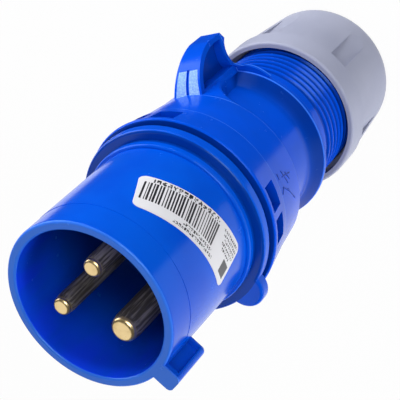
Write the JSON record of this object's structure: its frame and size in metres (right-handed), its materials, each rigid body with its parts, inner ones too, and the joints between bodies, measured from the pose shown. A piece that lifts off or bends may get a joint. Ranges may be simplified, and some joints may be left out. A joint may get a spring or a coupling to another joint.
{
  "type": "industrial pin and sleeve plug",
  "caption": "Round industrial power plug: shrouded brass pins with an index key, twist-on rear housing with a lid hook, and a fluted cable gland nut.",
  "frame": {"origin": "on the plug's axis, in the plane of the gland nut's rear face that the plug stands on", "axes": "+Z along the plug's axis, out of the mouth in the direction of the pins; -Y towards the lid hook; +X completes the frame"},
  "size_m": [0.0524, 0.0586, 0.135],
  "materials": {
    "blue_plastic": "smooth moulded polyamide, satin gloss",
    "grey_plastic": "fine moulded, satin",
    "pin_brass": "turned and polished",
    "screw_steel": "zinc plated",
    "inner_plastic": "moulded",
    "seal_rubber": "matt rubber",
    "sticker": "white film"
  },
  "bodies": {
    "housing": {"rear_housing": "blue_plastic", "cable_seal": "seal_rubber"},
    "front": {"front_shroud": "blue_plastic", "pin_earth": "pin_brass", "pin_line": "pin_brass", "pin_neutral": "pin_brass", "terminal_screw_earth": "screw_steel", "terminal_screw_line": "screw_steel", "terminal_screw_neutral": "screw_steel", "contact_retainer": "inner_plastic", "retainer_screw": "screw_steel", "front_seal_ring": "seal_rubber", "label_sticker": "sticker"},
    "cage": {"clamp_cage": "inner_plastic"},
    "nut": {"gland_nut": "grey_plastic"}
  },
  "joints": [
    {"name": "bayonet_twist", "type": "hinge", "parent": "housing", "child": "front", "pos_m": [0, 0, 0.09], "axis": [0, 0, -1], "range_deg": [0, 35]},
    {"name": "gland_travel", "type": "slide", "parent": "housing", "child": "cage", "axis": [0, 0, 1], "range_m": [-0.0022, 0.01]},
    {"name": "nut_turn", "type": "hinge", "parent": "cage", "child": "nut", "pos_m": [0, 0, 0.02], "axis": [0, 0, 1], "range_deg": [-361, 1638]}
  ],
  "couplings": [
    {"joint": "nut_turn", "follows": "gland_travel", "rad_per_m": 2856}
  ]
}
